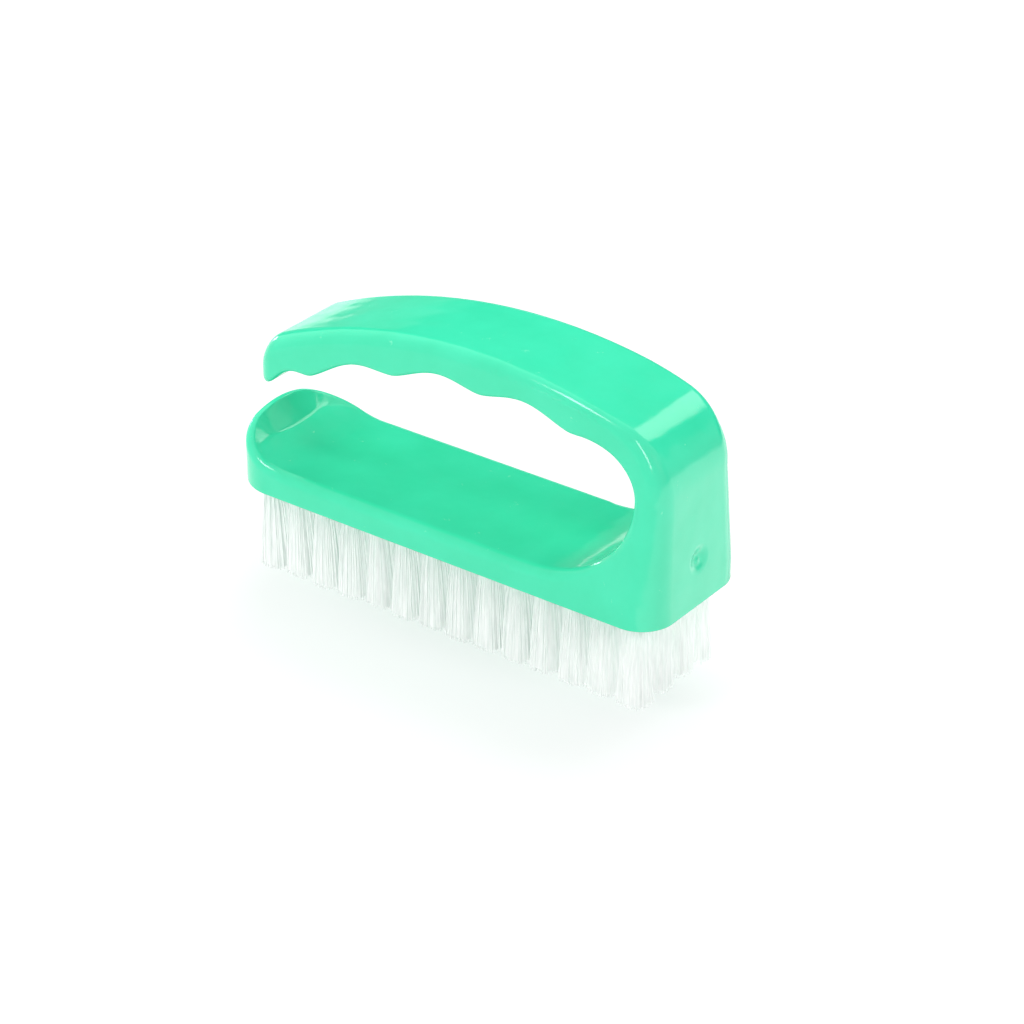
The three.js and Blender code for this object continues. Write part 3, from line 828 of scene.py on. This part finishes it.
studio = {
    "floorColour": "f4f5f5",
    "floorSize": 6.0,          # metres
    "floorWhite": 0.6,         # share of its light that the board gives by itself, lit from below
    "floorGlow": 0.95,
    "ambient": 0.3,
    "reflectorGlow": 2.0,
    "reflectorCard": ((52.0, -60.0, 2.0), (420.0, 300.0, 2.0)),  # two opposite corners
    "roomCards": (
        # dark and pale cards behind the set: two opposite corners, colour
        ((-330.0, 300.0, 3.0), (300.0, 900.0, 3.0), "1d2422"),
        ((300.0, 300.0, 3.0), (2500.0, 900.0, 3.0), "f0f3f2"),
        ((-2500.0, 900.0, 3.0), (-500.0, 900.0, 350.0), "a0a8a4"),
        ((-2500.0, 900.0, 350.0), (-500.0, 900.0, 1100.0), "1d2422"),
        ((-500.0, 900.0, 3.0), (300.0, 900.0, 400.0), "1d2422"),
        ((-500.0, 900.0, 400.0), (300.0, 900.0, 1100.0), "626c69"),
        ((300.0, 900.0, 3.0), (760.0, 900.0, 1000.0), "1d2422"),
        ((760.0, 900.0, 3.0), (2500.0, 900.0, 700.0), "f0f3f2"),
    ),
    "lamps": (
        # name, direction from the brush, distance m, width and height m, radiance, seen in the gloss
        ("overheadSoftbox", (-0.20, -0.36, 0.90), 0.80, (0.185, 0.185), 12.5, True),
        ("frontLamp", (0.62, -0.54, 0.56), 0.70, (0.08, 0.45), 10.5, True),
        ("leftLamp", (-0.95, 0.27, 0.14), 0.80, (0.09, 0.09), 20.0, True),
        ("backSoftbox", (0.25, 0.695, 0.66), 0.70, (0.24, 0.24), 3.1, True),
        ("backFill", (-0.22, 0.645, 0.73), 0.80, (0.60, 0.60), 4.65, False),
        ("frontLeftFill", (-0.48, -0.79, 0.38), 0.80, (0.40, 0.40), 1.25, False),
        ("lowFill", (-0.42, -0.905, 0.07), 0.80, (0.16, 0.16), 30.0, False),
        ("rightFill", (0.87, 0.0, 0.49), 0.80, (0.28, 0.28), 9.0, False),
        ("leftFill", (-0.82, 0.05, 0.42), 0.80, (0.45, 0.45), 4.5, False),
    ),
}


def rayOfBackground(tree):
    # 1 for rays that should see the plain white background
    path = addNode(tree, "ShaderNodeLightPath")
    mirror = addNode(tree, "ShaderNodeMath", {
        0: path.outputs["Is Glossy Ray"], 1: path.outputs["Is Transmission Ray"]}, operation="MAXIMUM")
    either = addNode(tree, "ShaderNodeMath", {
        0: path.outputs["Is Camera Ray"], 1: mirror.outputs["Value"]}, operation="MAXIMUM")
    return either.outputs["Value"]


def buildFloor():
    half = studio["floorSize"] / 2 / mm
    material, tree = newMaterial("paintedBoard")  # matt white board
    paint = addNode(tree, "ShaderNodeBsdfDiffuse", {"Color": hexLinear(studio["floorColour"])})
    white = addNode(tree, "ShaderNodeEmission", {"Strength": studio["floorGlow"]})
    mix = addNode(tree, "ShaderNodeMixShader", {
        0: studio["floorWhite"], 1: paint.outputs["BSDF"], 2: white.outputs["Emission"]})
    addNode(tree, "ShaderNodeOutputMaterial", {"Surface": mix.outputs["Shader"]})
    corners = [(-half, -half, 0), (half, -half, 0), (half, half, 0), (-half, half, 0)]
    floor = newPiece("floorBoard", corners, [(0, 1, 2, 3)], material)


def addCard(name, first, last, material):
    # flat card between two opposite corners, seen in the gloss only
    corners = [first, (last[0], first[1], first[2]), last, (first[0], last[1], last[2])]
    card = newPiece(name, corners, [(0, 1, 2, 3)], material)
    card.visible_camera = False
    card.visible_diffuse = False
    card.visible_shadow = False


def buildRoom():
    # what the gloss sees between the board and the back softbox
    for number, (first, last, colour) in enumerate(studio["roomCards"]):
        material, tree = newMaterial(f"paintedCard{number}")  # matt, dark or pale
        paint = addNode(tree, "ShaderNodeBsdfDiffuse", {"Color": hexLinear(colour)})
        addNode(tree, "ShaderNodeOutputMaterial", {"Surface": paint.outputs["BSDF"]})
        addCard(f"dimRoomCard{number}", first, last, material)


def buildReflector():
    # bright card on the board by the end face
    material, tree = newMaterial("litCard")  # an even white glow
    white = addNode(tree, "ShaderNodeEmission", {"Strength": studio["reflectorGlow"]})
    addNode(tree, "ShaderNodeOutputMaterial", {"Surface": white.outputs["Emission"]})
    first, last = studio["reflectorCard"]
    addCard("reflectorCard", first, last, material)


def buildWorld():
    world = bpy.data.worlds.new("studioWorld")
    bpy.context.scene.world = world
    world.use_nodes = True
    tree = world.node_tree
    tree.nodes.clear()
    white = (1, 1, 1, 1)
    soft = addNode(tree, "ShaderNodeBackground", {"Color": white, "Strength": studio["ambient"]})
    plain = addNode(tree, "ShaderNodeBackground", {"Color": white, "Strength": 1.0})
    mix = addNode(tree, "ShaderNodeMixShader", {
        0: rayOfBackground(tree), 1: soft.outputs["Background"], 2: plain.outputs["Background"]})
    addNode(tree, "ShaderNodeOutputWorld", {"Surface": mix.outputs["Shader"]})


def buildLamps():
    centre = Vector((0, 0, crestZ / 2)) * mm
    for name, direction, distance, (width, height), radiance, inGloss in studio["lamps"]:
        lamp = bpy.data.lights.new(name, "AREA")
        lamp.shape = "RECTANGLE"
        lamp.size = width
        lamp.size_y = height
        lamp.energy = radiance * math.pi * width * height
        holder = bpy.data.objects.new(name, lamp)
        toLamp = Vector(direction).normalized()
        holder.location = centre + toLamp * distance
        holder.rotation_euler = toLamp.to_track_quat("Z", "Y").to_euler()
        holder.visible_glossy = inGloss
        bpy.context.scene.collection.objects.link(holder)


view = {
    "azimuth": 36.777,    # degrees
    "elevation": 29.226,
    "roll": -0.086,
    "distance": 545.72,
    "target": (4.38, 3.35, 18.552),
    "lens": 112.5,
    "sensor": 36.0,
    "clipStart": 0.01,    # metres
}


def buildCamera():
    azimuth, elevation = math.radians(view["azimuth"]), math.radians(view["elevation"])
    back = Vector((math.sin(azimuth) * math.cos(elevation), -math.cos(azimuth) * math.cos(elevation),
                   math.sin(elevation)))
    camera = bpy.data.cameras.new("photoCamera")
    camera.lens = view["lens"]
    camera.sensor_width = view["sensor"]
    camera.clip_start = view["clipStart"]
    holder = bpy.data.objects.new("photoCamera", camera)
    roll = Matrix.Rotation(math.radians(view["roll"]), 4, "Z")
    turn = back.to_track_quat("Z", "Y").to_matrix().to_4x4() @ roll
    place = (Vector(view["target"]) + back * view["distance"]) * mm
    holder.matrix_world = Matrix.Translation(place) @ turn
    bpy.context.scene.collection.objects.link(holder)
    bpy.context.scene.camera = holder


buildFloor()
buildRoom()
buildReflector()
buildWorld()
buildLamps()
buildCamera()
bpy.context.scene.view_settings.view_transform = "Standard"
print("studio and camera ready")
